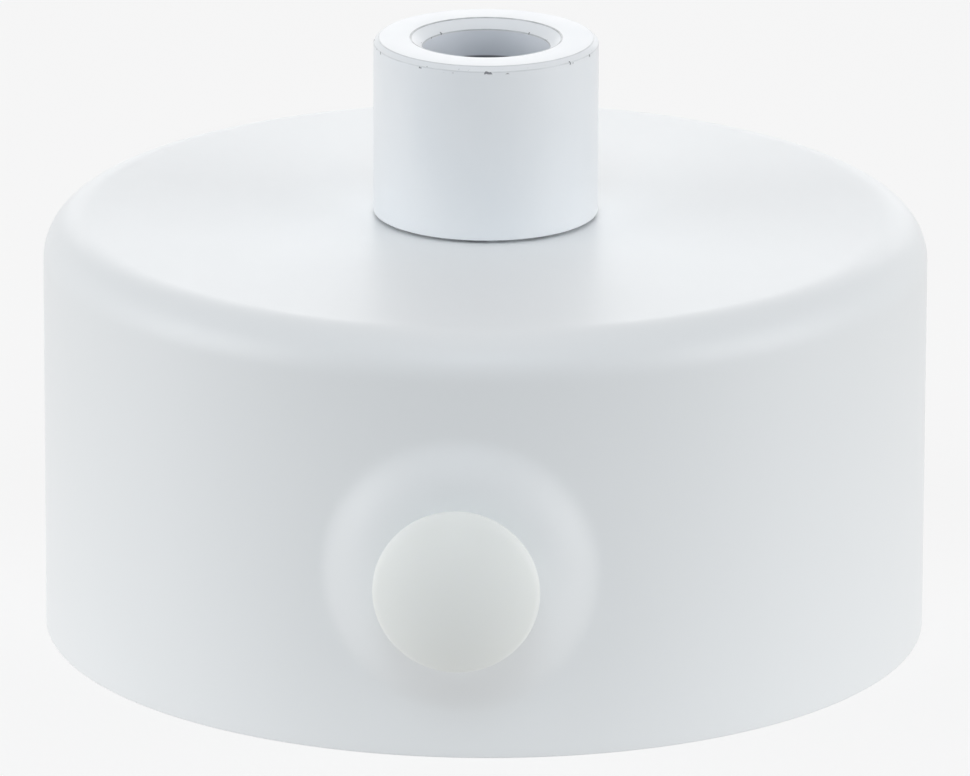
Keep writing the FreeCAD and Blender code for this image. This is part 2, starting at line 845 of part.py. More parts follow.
def make_saddle_washer():
    """Moulded washer whose back follows the boss, so that it slides but cannot turn."""
    hole = stud_radius + size["saddle_hole_gap"]
    outer = size["saddle_diameter"] / 2
    body = turned_body("saddle_washer", [
        (hole, boss_face), (outer, boss_face), (outer, saddle_front), (hole, saddle_front)])
    seat = new_sketch(body, "XZ_Plane")
    circle(seat, boss_face + size["saddle_gap"])
    pocket(body, seat, both_ways=True)
    place(body, z=size["knob_height"], **FACING_FRONT)


def make_knob_head():
    """Moulded dome knob with a slim back, which leaves its rim clear of the boss."""
    rim = size["knob_rim_diameter"] / 2
    dome = size["knob_dome_height"]
    rim_level = knob_back + size["knob_rim_rise"]
    dome_radius = (rim * rim + dome * dome) / (dome * 2)
    socket = stud_radius + size["thread_gap"]
    socket_end = knob_back + size["stud_in_knob"]
    body = turned_body("knob_head", [
        (socket, knob_back),
        (size["knob_back_diameter"] / 2, knob_back),
        (rim, rim_level, dome_radius),
        (0, rim_level + dome),
        (0, socket_end),
        (socket, socket_end),
    ])
    round_edges(body, size["knob_rim_round"], lambda edge: isinstance(edge.Curve, Part.Circle)
                and abs(edge.Curve.Radius - rim.value) < 1e-4)
    place(body, z=size["knob_height"], **FACING_FRONT)


def make_knob_stud():
    """Steel stud moulded into the knob, screwed through the press nut."""
    bevel = size["stud_chamfer"]
    tip = ear_inside - size["press_nut_height"] - size["stud_past_nut"]
    end = knob_back + size["stud_in_knob"]
    body = turned_body("knob_stud", [
        (0, tip),
        (stud_radius - bevel, tip),
        (stud_radius, tip + bevel),
        (stud_radius, end),
        (0, end),
    ])
    place(body, z=size["knob_height"], **FACING_FRONT)


def pole_places():
    """Places of the block's poles along the strip."""
    count = int(SIZES["pole_count"])
    return [size["block_offset"] + size["pole_pitch"] * (i - (count - 1) / 2) for i in range(count)]


def make_terminal_block():
    """Moulded block: a low base with one tower for each pole, wire ways and screw wells."""
    pitch = size["pole_pitch"]
    length = pitch * size["pole_count"]
    half_length = length / 2
    half_base = size["block_width"] / 2
    half_tower = size["tower_width"] / 2
    shoulder = size["block_shoulder"]
    top = size["block_height"]
    body = new_body("terminal_block")
    section = new_sketch(body, "XZ_Plane")
    outline(section, [
        (-half_base, 0), (half_base, 0), (half_base, shoulder), (half_tower, shoulder),
        (half_tower, top), (-half_tower, top), (-half_tower, shoulder), (-half_base, shoulder),
    ])
    pad(body, section, length, both_ways=True)
    local_fixings = [-pitch / 2, pitch / 2]
    gaps = new_sketch(body, "XY_Plane", top)
    half_gap = size["tower_gap"] / 2
    for spot in local_fixings:
        rectangle(gaps, -half_base, half_base, spot - half_gap, spot + half_gap)
    pocket(body, gaps, top - shoulder)
    wells = new_sketch(body, "XY_Plane", top)
    for spot in local_fixings:
        circle(wells, size["fixing_well_diameter"] / 2, 0, spot)
    pocket(body, wells, top - shoulder)
    fixing_holes = new_sketch(body, "XY_Plane")
    for spot in local_fixings:
        circle(fixing_holes, size["fixing_screw_diameter"] / 2 + size["fixing_hole_gap"], 0, spot)
    pocket(body, fixing_holes, both_ways=True)
    first_pole = pitch * (size["pole_count"] - 1) / 2
    ways = new_sketch(body, "YZ_Plane")
    circle(ways, size["sleeve_diameter"] / 2 + size["sleeve_gap"], -first_pole, size["sleeve_height"])
    way = pocket(body, ways, both_ways=True)
    span = pitch * (size["pole_count"] - 1)
    pattern(body, "LinearPattern", way, "Y_Axis", span, size["pole_count"])
    screw_wells = new_sketch(body, "XY_Plane", top)
    for side in (-1, 1):
        circle(screw_wells, size["well_diameter"] / 2, size["sleeve_screw_place"] * side, -first_pole)
    well = pocket(body, screw_wells, top - size["sleeve_height"])
    pattern(body, "LinearPattern", well, "Y_Axis", span, size["pole_count"])
    place(body, y=size["block_offset"], z=block_base)


def make_terminal_sleeves():
    """Brass sleeves that take the wire ends, one for each pole."""
    outer = size["sleeve_diameter"] / 2
    bore = size["sleeve_bore"] / 2
    length = size["sleeve_length"]
    hole = size["terminal_screw_diameter"] / 2 + size["thread_gap"]
    for number, spot in enumerate(pole_places(), start=1):
        body = new_body("terminal_sleeve_%d" % number)
        ring = new_sketch(body, "YZ_Plane")
        circle(ring, outer)
        circle(ring, bore)
        pad(body, ring, length, both_ways=True)
        holes = new_sketch(body, "XY_Plane")
        for side in (-1, 1):
            circle(holes, hole, size["sleeve_screw_place"] * side, 0)
        pocket(body, holes, outer, reverse=True)
        place(body, y=spot, z=block_base + size["sleeve_height"])


def make_terminal_screws():
    """Two slotted screws for each sleeve, turned down into its bore."""
    number = 0
    head_level = block_base + size["sleeve_height"] + size["sleeve_bore"] / 2 + size["terminal_screw_length"]
    for spot in pole_places():
        for side in (-1, 1):
            number += 1
            body = screw(
                "terminal_screw_%d" % number, size["terminal_screw_diameter"], size["terminal_screw_length"],
                size["terminal_head_diameter"], size["terminal_head_height"])
            place(body, x=size["sleeve_screw_place"] * side, y=spot, z=head_level)


def make_block_fixing_screws():
    """Screws that hold the terminal block on the strip."""
    level = block_base + size["block_shoulder"]
    for number, spot in enumerate(fixing_places(), start=1):
        body = screw(
            "block_fixing_screw_%d" % number, size["fixing_screw_diameter"], level - size["ceiling_gap"],
            size["fixing_head_diameter"], size["fixing_head_height"])
        place(body, y=spot, z=level)


def make_bracket_earth_terminal():
    """Earth screw of the strip with the cupped washer under its head."""
    thickness = size["cup_washer_thickness"]
    hole = size["earth_screw_diameter"] / 2 + size["fixing_hole_gap"]
    rim = size["cup_washer_diameter"] / 2
    lip = size["cup_washer_lip"]
    cup = turned_body("earth_cup_washer", [
        (hole, 0), (rim, 0), (rim, thickness + lip), (rim - lip, thickness + lip), (rim - lip, thickness),
        (hole, thickness),
    ])
    place(cup, y=size["earth_place"], z=block_base)
    level = block_base + thickness
    body = screw(
        "bracket_earth_screw", size["earth_screw_diameter"], level - size["ceiling_gap"],
        size["earth_head_diameter"], size["earth_head_height"])
    place(body, y=size["earth_place"], z=level)


def check_model():
    """Stop if any object failed, any sub-part is unsound or any cut took nothing away."""
    for item in document.Objects:
        for fault in ("Invalid", "Error"):
            assert fault not in item.State, "%s is in state %s" % (item.Label, item.State)
        if item.TypeId in ("PartDesign::Pocket", "PartDesign::Groove"):
            before = item.BaseFeature.Shape.Volume
            assert item.Shape.Volume < before - 1e-3, "%s cuts nothing" % item.Label
    for item in finished_parts:
        assert not item.Shape.isNull(), "%s has no shape" % item.Label
        assert item.Shape.isValid(), "%s is not valid" % item.Label
        assert len(item.Shape.Solids) == 1, "%s is not one solid" % item.Label


def write_parts():
    """Write one STEP file for each sub-part, named by its label."""
    os.makedirs("parts", exist_ok=True)
    for item in finished_parts:
        item.Shape.exportStep("parts/%s.step" % item.Label)
        print("%-24s %10.2f mm3" % (item.Label, item.Shape.Volume))


make_canopy_cup()
make_top_collar()
make_threaded_nipple()
make_lock_washer()
make_earth_tag()
make_earth_tag_screw()
make_nipple_nut()
make_cord_clamp_body()
make_cord_clamp_screw()
make_ceiling_bracket()
make_press_nut()
make_locating_pin()
make_saddle_washer()
make_knob_head()
make_knob_stud()
make_terminal_block()
make_terminal_sleeves()
make_terminal_screws()
make_block_fixing_screws()
make_bracket_earth_terminal()
document.recompute()
check_model()
write_parts()
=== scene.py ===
"""Small white ceiling rose on a pale floor: finish of every surface, threads, light and camera."""
import math

import bmesh
import bpy
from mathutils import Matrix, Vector


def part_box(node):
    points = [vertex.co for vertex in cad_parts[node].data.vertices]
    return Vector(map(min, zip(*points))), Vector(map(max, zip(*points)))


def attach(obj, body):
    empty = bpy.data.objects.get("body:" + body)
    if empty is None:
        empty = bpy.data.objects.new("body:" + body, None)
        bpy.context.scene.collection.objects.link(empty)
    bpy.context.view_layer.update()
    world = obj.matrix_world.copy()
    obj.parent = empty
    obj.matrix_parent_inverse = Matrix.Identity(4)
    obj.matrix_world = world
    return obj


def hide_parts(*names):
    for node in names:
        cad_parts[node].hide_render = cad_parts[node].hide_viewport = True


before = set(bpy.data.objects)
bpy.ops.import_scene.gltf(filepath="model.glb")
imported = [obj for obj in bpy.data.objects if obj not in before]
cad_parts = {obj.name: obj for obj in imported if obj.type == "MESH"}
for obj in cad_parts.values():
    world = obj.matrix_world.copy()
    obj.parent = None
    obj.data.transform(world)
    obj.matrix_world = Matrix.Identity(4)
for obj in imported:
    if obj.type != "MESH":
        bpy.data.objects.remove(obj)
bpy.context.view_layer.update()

MM = 0.001
# Length in metres that counts as none
TINY = 1e-7

# Sizes of the sheet cup that its CAD box doesn't give
WALL = 1.0 * MM
EDGE_RADIUS = 4.0 * MM
RIM_ROUNDING = 0.2 * MM
BOSS_FLAT_RADIUS = 3.5 * MM
BOSS_FOOT_RADIUS = 12.7 * MM
STUD_HOLE_RADIUS = 2.3 * MM
PIN_HOLE_RADIUS = 2.2 * MM
NIPPLE_HOLE_RADIUS = 5.2 * MM

# Sizes of the collar, tube, knob and stud
COLLAR_CHAMFER = 0.45 * MM
COLLAR_FOOT_RISE = 0.3 * MM
COLLAR_FOOT_DEPTH = 0.6 * MM
BORE_RADIUS = 5.75 * MM
BORE_DEPTH = 9.0 * MM
BORE_CHAMFER_WIDTH = 1.05 * MM
BORE_CHAMFER_DEPTH = 0.85 * MM
FOOT_BORE_RADIUS = 5.03 * MM
TUBE_BORE_RADIUS = 4.0 * MM
TUBE_PITCH = 1.0 * MM
STUD_PITCH = 0.7 * MM
KNOB_BACK_RADIUS = 5.4 * MM
KNOB_RIM_RADIUS = 8.1 * MM
KNOB_RIM_RISE = 1.7 * MM
KNOB_RIM_ROUND = 1.1 * MM
KNOB_BACK_ROUND = 0.3 * MM
STUD_SEAT_RADIUS = 2.03 * MM
STUD_SEAT_DEPTH = 0.01 * MM
ROD_BEVEL = 0.4 * MM
EDGE_BREAK = 0.12 * MM

# V-thread: its depth as a share of the pitch, and how steeply it rises to its flat crest
THREAD_DEPTH = 0.55
THREAD_RISE = 1.25

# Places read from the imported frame
cup_low, cup_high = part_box("canopy_cup")
collar_low, collar_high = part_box("top_collar")
tube_low, tube_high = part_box("threaded_nipple")
knob_low, knob_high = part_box("knob_head")
stud_low, stud_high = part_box("knob_stud")
body_radius = cup_high.x
body_height = cup_high.z
boss_raise = -cup_low.y - body_radius
knob_height = (knob_low.z + knob_high.z) / 2
collar_radius = collar_high.x
collar_height = collar_high.z - collar_low.z

# Mesh of the cup: columns round it, half the columns that each round patch takes and the rings of that
# patch, rows of the wall below and above the boss, steps of the edge, and rings of the plate as shares
COLUMNS = 360
BOSS_PATCH = 19
BOSS_RINGS = 34
PIN_PATCH = 5
PIN_RINGS = 4
ROWS_BELOW = 5
ROWS_ABOVE = 6
EDGE_STEPS = 16
PLATE_RINGS = (0.995, 0.97, 0.9, 0.7, 0.5, 0.33)
column_step = 2 * math.pi * body_radius / COLUMNS

# Mesh of the turned pieces: segments round them, steps of their arcs, and rows of one turn of a thread
COLLAR_SEGMENTS = 192
KNOB_SEGMENTS = 160
THREAD_SEGMENTS = 96
THREAD_ROWS = 8
ROUND_STEPS = 4
KNOB_RIM_STEPS = 12
KNOB_DOME_STEPS = 28

# Edges that turn by more than this are shaded sharp
SHARP_DEGREES = 35


def mesh_piece(name, vertices, faces, body, material):
    """Make a smooth-shaded closed mesh that rides on a body."""
    mesh = bpy.data.meshes.new(name)
    mesh.from_pydata(vertices, [], faces)
    work = bmesh.new()
    work.from_mesh(mesh)
    bmesh.ops.recalc_face_normals(work, faces=work.faces)
    work.to_mesh(mesh)
    work.free()
    mesh.shade_smooth()
    mesh.set_sharp_from_angle(angle=math.radians(SHARP_DEGREES))
    mesh.materials.append(material)
    piece = bpy.data.objects.new(name, mesh)
    bpy.context.scene.collection.objects.link(piece)
    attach(piece, body)
    return piece


def arc_points(centre, radius, first_degrees, last_degrees, steps):
    """Points of an arc in the profile plane."""
    points = []
    for i in range(steps + 1):
        angle = math.radians(first_degrees + (last_degrees - first_degrees) * i / steps)
        points.append((centre[0] + radius * math.cos(angle), centre[1] + radius * math.sin(angle)))
    return points


def rounded(corners):
    """Closed profile through corners (radius, height, rounding), each rounded by its own arc."""
    points = []
    count = len(corners)
    for i, (x, y, rounding) in enumerate(corners):
        here = Vector((x, y))
        if rounding <= 0:
            points.append((x, y))
            continue
        before = (Vector(corners[i - 1][:2]) - here).normalized()
        after = (Vector(corners[(i + 1) % count][:2]) - here).normalized()
        half = before.angle(after) / 2
        reach = rounding / math.tan(half)
        centre = here + (before + after).normalized() * (rounding / math.sin(half))
        start = here + before * reach - centre
        sweep = start.angle_signed(here + after * reach - centre)
        for k in range(ROUND_STEPS + 1):
            turned = start.copy()
            angle = -sweep * k / ROUND_STEPS
            turned.x = start.x * math.cos(angle) - start.y * math.sin(angle)
            turned.y = start.x * math.sin(angle) + start.y * math.cos(angle)
            points.append(tuple(centre + turned))
    return points


def turned_mesh(profile, segments, along=(0, 0, 1), origin=(0, 0, 0), reshape=None, closed=True):
    """Vertices and faces of a profile (radius, height) turned about an axis."""
    to_axis = Vector((0, 0, 1)).rotation_difference(Vector(along)).to_matrix()
    origin = Vector(origin)
    vertices, rings, faces = [], [], []
    for radius, height in profile:
        if radius < TINY:
            rings.append([len(vertices)] * segments)
            vertices.append(origin + to_axis @ Vector((0, 0, height)))
            continue
        rings.append(list(range(len(vertices), len(vertices) + segments)))
        for k in range(segments):
            angle = 2 * math.pi * k / segments
            reach = reshape(radius, height, angle) if reshape else radius
            spot = Vector((reach * math.cos(angle), reach * math.sin(angle), height))
            vertices.append(origin + to_axis @ spot)
    pairs = list(zip(rings, rings[1:])) + ([(rings[-1], rings[0])] if closed else [])
    for lower, upper in pairs:
        for k in range(segments):
            following = (k + 1) % segments
            corners = [lower[k], lower[following], upper[following], upper[k]]
            unique = list(dict.fromkeys(corners))
            if len(unique) > 2:
                faces.append(unique)
    return vertices, faces


def thread_wave(height, angle, pitch):
    """Height of a V-thread at a place on its cylinder, from 0 in the root to 1 at the crest."""
    phase = (height / pitch - angle / (2 * math.pi)) % 1.0
    return min(1.0, THREAD_RISE * (1 - abs(2 * phase - 1)))


def fade(height, low, high, reach):
    """Run a thread out softly at both ends."""
    near = min(height - low, high - height) / reach
    near = min(max(near, 0.0), 1.0)
    return near * near * (3 - 2 * near)


def boss_share(distance):
    """Share of the boss's full height at a distance from its centre: a low dome with a tight foot."""
    fall = (distance - BOSS_FLAT_RADIUS) / (BOSS_FOOT_RADIUS - BOSS_FLAT_RADIUS)
    fall = min(max(fall, 0.0), 1.0) ** 2
    return 1 - fall * fall * (3 - 2 * fall)


def wall_point(along, up, inset, with_boss=True):
    """Point of the cup's wall, given by arc length from the front and height from the boss's centre."""
    angle = along / body_radius
    reach = body_radius - inset
    if with_boss:
        reach += boss_raise * boss_share(math.hypot(along, up))
    return Vector((reach * math.sin(angle), -reach * math.cos(angle), knob_height + up))


class Sheet:
    """One skin of the cup: the wall with two holes, the rounded edge and the plate."""

    def __init__(self, vertices, faces, inset):
        self.vertices = vertices
        self.faces = faces
        self.inset = inset
        self.grid = {}
        self.levels = self.wall_levels()
        self.middle = self.levels.index(0.0)
        self.stud_ring = self.patch(0, BOSS_PATCH, STUD_HOLE_RADIUS, BOSS_RINGS)
        self.pin_ring = self.patch(COLUMNS // 2, PIN_PATCH, PIN_HOLE_RADIUS, PIN_RINGS)
        self.fill_wall()
        self.rim_ring = [self.corner(column, 0) for column in range(COLUMNS)]
        self.plate_ring = self.close_top()

    def wall_levels(self):
        """Heights of the wall's rows, counted from the boss's centre."""
        low = RIM_ROUNDING - knob_height
        high = body_height - EDGE_RADIUS - knob_height
        rows = [column_step * i for i in range(-BOSS_PATCH, BOSS_PATCH + 1)]
        below = [low + (rows[0] - low) * i / ROWS_BELOW for i in range(ROWS_BELOW)]
        above = [rows[-1] + (high - rows[-1]) * i / ROWS_ABOVE for i in range(1, ROWS_ABOVE + 1)]
        return below + rows + above

    def add(self, point):
        """Add a vertex and return its number."""
        self.vertices.append(point)
        return len(self.vertices) - 1

    def corner(self, column, row):
        """Vertex at a crossing of the wall's grid."""
        column %= COLUMNS
        if (column, row) not in self.grid:
            along = column_step * (column if column <= COLUMNS // 2 else column - COLUMNS)
            self.grid[(column, row)] = self.add(wall_point(along, self.levels[row], self.inset))
        return self.grid[(column, row)]

    def patch(self, column, half, hole_radius, rings):
        """Round a square of the grid down to a hole and return the hole's ring of vertices."""
        spots = [(i, -half) for i in range(-half, half)] + [(half, i) for i in range(-half, half)]
        spots += [(-i, half) for i in range(-half, half)] + [(-half, -i) for i in range(-half, half)]
        centre = column_step * column
        loops = []
        for k in range(rings):
            share = k / rings
            loop = []
            for right, up in spots:
                edge = Vector((right, up)) * column_step
                spot = edge.normalized() * hole_radius * (1 - share) + edge * share
                loop.append(self.add(wall_point(centre + spot.x, spot.y, self.inset, column == 0)))
            loops.append(loop)
        loops.append([self.corner(column + right, self.middle + up) for right, up in spots])
        for inner, outer in zip(loops, loops[1:]):
            self.bridge(inner, outer)
        return loops[0]

    def bridge(self, first, second):
        """Join two rings of equal length with quads."""
        count = len(first)
        for k in range(count):
            following = (k + 1) % count
            self.faces.append((first[k], second[k], second[following], first[following]))

    def fill_wall(self):
        """Quads of the wall's grid outside the two patches."""
        for column in range(-COLUMNS // 2, COLUMNS // 2):
            for row in range(len(self.levels) - 1):
                up = row - self.middle
                in_boss = -BOSS_PATCH <= column < BOSS_PATCH and -BOSS_PATCH <= up < BOSS_PATCH
                behind = (column + COLUMNS) % COLUMNS - COLUMNS // 2
                in_pin = -PIN_PATCH <= behind < PIN_PATCH and -PIN_PATCH <= up < PIN_PATCH
                if in_boss or in_pin:
                    continue
                self.faces.append((self.corner(column, row), self.corner(column + 1, row),
                                   self.corner(column + 1, row + 1), self.corner(column, row + 1)))

    def sweep(self, ring, profile):
        """Carry a ring of vertices along a profile (radius, height) and return the last ring."""
        for reach, height in profile:
            upper = []
            for column in range(COLUMNS):
                angle = 2 * math.pi * column / COLUMNS
                spot = Vector((reach * math.sin(angle), -reach * math.cos(angle), height))
                upper.append(self.add(spot))
            self.bridge(ring, upper)
            ring = upper
        return ring

    def close_top(self):
        """Rounded edge and flat plate, in to the hole in the middle."""
        radius = EDGE_RADIUS - self.inset
        centre = (body_radius - EDGE_RADIUS, body_height - EDGE_RADIUS)
        top = body_height - self.inset
        profile = arc_points(centre, radius, 0, 90, EDGE_STEPS)[1:]
        profile += [(centre[0] * share, top) for share in PLATE_RINGS]
        profile.append((NIPPLE_HOLE_RADIUS, top))
        top_row = len(self.levels) - 1
        return self.sweep([self.corner(column, top_row) for column in range(COLUMNS)], profile)


def make_cup(material):
    """Steel cup as one closed sheet with a softly embossed boss."""
    vertices, faces = [], []
    outer = Sheet(vertices, faces, 0.0)
    inner = Sheet(vertices, faces, WALL)
    for name in ("stud_ring", "pin_ring", "plate_ring"):
        outer.bridge(getattr(outer, name), getattr(inner, name))
    out_centre = (body_radius - RIM_ROUNDING, RIM_ROUNDING)
    in_centre = (body_radius - WALL + RIM_ROUNDING, RIM_ROUNDING)
    rim = arc_points(out_centre, RIM_ROUNDING, 0, -90, ROUND_STEPS)[1:]
    rim += arc_points(in_centre, RIM_ROUNDING, -90, -180, ROUND_STEPS)[:-1]
    outer.bridge(outer.sweep(outer.rim_ring, rim), inner.rim_ring)
    piece = mesh_piece("cup_shell", vertices, faces, "rose", material)
    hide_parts("canopy_cup")


def make_collar(material):
    """Turned collar with broken edges and a relieved foot."""
    floor = collar_height - BORE_DEPTH
    foot_radius = collar_radius - COLLAR_FOOT_DEPTH
    corners = [
        (FOOT_BORE_RADIUS, 0, 0),
        (foot_radius, 0, 0),
        (foot_radius, COLLAR_FOOT_RISE, 0),
        (collar_radius, COLLAR_FOOT_RISE, EDGE_BREAK),
        (collar_radius, collar_height - COLLAR_CHAMFER, EDGE_BREAK),
        (collar_radius - COLLAR_CHAMFER, collar_height, EDGE_BREAK),
        (BORE_RADIUS + BORE_CHAMFER_WIDTH, collar_height, EDGE_BREAK),
        (BORE_RADIUS, collar_height - BORE_CHAMFER_DEPTH, EDGE_BREAK / 2),
        (BORE_RADIUS, floor, 0),
        (FOOT_BORE_RADIUS, floor, 0),
    ]
    vertices, faces = turned_mesh(rounded(corners), COLLAR_SEGMENTS, origin=(0, 0, collar_low.z))
    piece = mesh_piece("collar_ring", vertices, faces, "rose", material)
    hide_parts("top_collar")


def threaded_mesh(radius, bore, pitch, low, high, along=(0, 0, 1), origin=(0, 0, 0)):
    """Vertices and faces of a rod or tube with a cut V-thread that runs out at both ends."""
    first, last = low + ROD_BEVEL, high - ROD_BEVEL
    rows = int((high - low) / (pitch / THREAD_ROWS))
    profile = [(bore, low), (radius - ROD_BEVEL, low)]
    profile += [(radius, first + (last - first) * i / rows) for i in range(rows + 1)]
    profile += [(radius - ROD_BEVEL, high), (bore, high)]

    def cut_thread(reach, height, angle):
        if reach < radius - TINY:
            return reach
        depth = THREAD_DEPTH * pitch * (1 - thread_wave(height, angle, pitch))
        return reach - depth * fade(height, first, last, pitch)

    return turned_mesh(profile, THREAD_SEGMENTS, along, origin, cut_thread, closed=bore > 0)


def make_tube(material):
    """Hollow threaded tube that joins collar and cup."""
    mesh = threaded_mesh(tube_high.x, TUBE_BORE_RADIUS, TUBE_PITCH, tube_low.z, tube_high.z)
    piece = mesh_piece("tube_thread", *mesh, "rose", material)
    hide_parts("threaded_nipple")


def make_stud(material):
    """Threaded stud of the knob."""
    mesh = threaded_mesh(stud_high.x, 0, STUD_PITCH, -stud_high.y, -stud_low.y,
                         along=(0, -1, 0), origin=(0, 0, knob_height))
    piece = mesh_piece("stud_thread", *mesh, "knob", material)
    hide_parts("knob_stud")


def make_knob(material):
    """Domed knob with a rounded rim and a slim back."""
    back, front = -knob_high.y, -knob_low.y
    rim_level = back + KNOB_RIM_RISE
    dome = front - rim_level
    dome_radius = (KNOB_RIM_RADIUS ** 2 + dome ** 2) / (2 * dome)
    centre = (0, front - dome_radius)
    cone = math.degrees(math.atan2(KNOB_RIM_RISE, KNOB_RIM_RADIUS - KNOB_BACK_RADIUS))
    # The rim's arc touches the dome from inside and the cone of the back
    inner_radius = dome_radius - KNOB_RIM_ROUND
    normal = Vector((math.sin(math.radians(cone)), -math.cos(math.radians(cone))))
    base = Vector((KNOB_BACK_RADIUS, back))
    offset = base.dot(normal) - KNOB_RIM_ROUND
    middle = offset - Vector(centre).dot(normal)
    slide = Vector((-normal.y, normal.x))
    rim_centre = Vector(centre) + normal * middle + slide * math.sqrt(inner_radius ** 2 - middle ** 2)
    start = cone - 90
    end = math.degrees(math.atan2(rim_centre.y - centre[1], rim_centre.x - centre[0]))
    seat = back + STUD_SEAT_DEPTH
    back_centre = (KNOB_BACK_RADIUS - KNOB_BACK_ROUND, back + KNOB_BACK_ROUND)
    profile = [(0, seat), (STUD_SEAT_RADIUS, seat), (STUD_SEAT_RADIUS, back)]
    profile += arc_points(back_centre, KNOB_BACK_ROUND, -90, start, ROUND_STEPS)
    profile += arc_points(tuple(rim_centre), KNOB_RIM_ROUND, start, end, KNOB_RIM_STEPS)
    profile += arc_points(centre, dome_radius, end, 90, KNOB_DOME_STEPS)[1:]
    profile = [(max(radius, 0.0), height) for radius, height in profile]
    vertices, faces = turned_mesh(profile, KNOB_SEGMENTS, (0, -1, 0), (0, 0, knob_height), closed=False)
    piece = mesh_piece("knob_dome", vertices, faces, "knob", material)
    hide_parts("knob_head")


# Spans of a noise's values that a range and a tint are spread over, and samples of a softened edge
NOISE_SPAN = (0.25, 0.75)
TINT_SPAN = (0.3, 0.7)
BEVEL_SAMPLES = 4


def new_material(name):
    """Start a material and return it with its node tree and its main shader."""
    material = bpy.data.materials.new(name)
    material.use_nodes = True
    tree = material.node_tree
    return material, tree, tree.nodes["Principled BSDF"]


def noise(tree, scale, detail, roughness=0.5, stretch=(1, 1, 1)):
    """Value of a noise in the object's own space, with its scale per metre."""
    coordinates = tree.nodes.new("ShaderNodeTexCoord")
    mapping = tree.nodes.new("ShaderNodeMapping")
    mapping.inputs["Scale"].default_value = stretch
    texture = tree.nodes.new("ShaderNodeTexNoise")
    texture.inputs["Scale"].default_value = scale
    texture.inputs["Detail"].default_value = detail
    texture.inputs["Roughness"].default_value = roughness
    tree.links.new(coordinates.outputs["Object"], mapping.inputs["Vector"])
    tree.links.new(mapping.outputs["Vector"], texture.inputs["Vector"])
    return texture.outputs["Fac"]


def ranged(tree, value, low, high):
    """Map a noise value to a range."""
    node = tree.nodes.new("ShaderNodeMapRange")
    node.inputs["From Min"].default_value = NOISE_SPAN[0]
    node.inputs["From Max"].default_value = NOISE_SPAN[1]
    node.inputs["To Min"].default_value = low
    node.inputs["To Max"].default_value = high
    tree.links.new(value, node.inputs["Value"])
    return node.outputs["Result"]


def tinted(tree, value, first, second):
    """Blend two colours by a noise value."""
    ramp = tree.nodes.new("ShaderNodeValToRGB")
    for element, position, colour in zip(ramp.color_ramp.elements, TINT_SPAN, (first, second)):
        element.position = position
        element.color = (*colour, 1)
    tree.links.new(value, ramp.inputs["Fac"])
    return ramp.outputs["Color"]


def bumped(tree, shader, value, distance, bevel=0.0):
    """Drive the surface's normal by a height value, with softened edges where a bevel is given."""
    bump = tree.nodes.new("ShaderNodeBump")
    bump.inputs["Distance"].default_value = distance
    tree.links.new(value, bump.inputs["Height"])
    if bevel:
        edge = tree.nodes.new("ShaderNodeBevel")
        edge.samples = BEVEL_SAMPLES
        edge.inputs["Radius"].default_value = bevel
        tree.links.new(edge.outputs["Normal"], bump.inputs["Normal"])
    tree.links.new(bump.outputs["Normal"], shader.inputs["Normal"])


def joined(tree, operation, *values):
    """Combine values, each a socket or a number."""
    node = tree.nodes.new("ShaderNodeMath")
    node.operation = operation
    for socket, value in zip(node.inputs, values):
        if isinstance(value, (int, float)):
            socket.default_value = value
        else:
            tree.links.new(value, socket)
    return node.outputs["Value"]


def eased(tree, value, first, last, at_first, at_last):
    """Map a value smoothly from one range to another."""
    node = tree.nodes.new("ShaderNodeMapRange")
    node.interpolation_type = "SMOOTHSTEP"
    node.inputs["From Min"].default_value = first
    node.inputs["From Max"].default_value = last
    node.inputs["To Min"].default_value = at_first
    node.inputs["To Max"].default_value = at_last
    tree.links.new(value, node.inputs["Value"])
    return node.outputs["Result"]


def mixed(tree, share, colour, other):
    """Blend a colour socket with a fixed colour by a share."""
    node = tree.nodes.new("ShaderNodeMix")
    node.data_type = "RGBA"
    node.inputs["B"].default_value = (*other, 1)
    tree.links.new(share, node.inputs["Factor"])
    tree.links.new(colour, node.inputs["A"])
    return node.outputs["Result"]


def axis_place(tree):
    """Place on the profile plane: distance from the z axis as x, height as z, and both as values."""
    coordinates = tree.nodes.new("ShaderNodeTexCoord")
    parts = tree.nodes.new("ShaderNodeSeparateXYZ")
    tree.links.new(coordinates.outputs["Object"], parts.inputs["Vector"])
    squares = [joined(tree, "MULTIPLY", parts.outputs[axis], parts.outputs[axis]) for axis in ("X", "Y")]
    reach = joined(tree, "SQRT", joined(tree, "ADD", *squares))
    place = tree.nodes.new("ShaderNodeCombineXYZ")
    tree.links.new(reach, place.inputs["X"])
    tree.links.new(parts.outputs["Z"], place.inputs["Z"])
    return place.outputs["Vector"], reach, parts.outputs["Z"]


# Worn paint and painted shade of the collar: rings of radius, height, half width and strength, worn lines on
# its edges and a painted shadow in its foot's groove, rings that hold chips, and painted shade in its bore as
# depth, colour and strength, darker and bluer below the chamfer and nearly black deeper down
WORN_AND_SHADE_COLOUR = (0.16, 0.165, 0.18)
BORE_EDGE = BORE_RADIUS + BORE_CHAMFER_WIDTH
COLLAR_WEAR_AND_SHADE_RINGS = [
    (BORE_EDGE, collar_high.z, 0.12 * MM, 0.85),
    (BORE_RADIUS, collar_high.z - BORE_CHAMFER_DEPTH, 0.07 * MM, 0.6),
    (collar_radius - COLLAR_CHAMFER, collar_high.z, 0.08 * MM, 0.4),
    (collar_radius, collar_high.z - COLLAR_CHAMFER, 0.07 * MM, 0.25),
    # Painted shadow: this ring darkens the foot's groove, the seam where the collar meets the plate
    (collar_radius - COLLAR_FOOT_DEPTH, collar_low.z, COLLAR_FOOT_DEPTH * 0.8, 0.9),
]
CHIP_RINGS = [
    (collar_radius, collar_high.z - COLLAR_CHAMFER, 0.22 * MM, 0.9),
    (BORE_RADIUS, collar_high.z - BORE_CHAMFER_DEPTH, 0.25 * MM, 0.9),
]
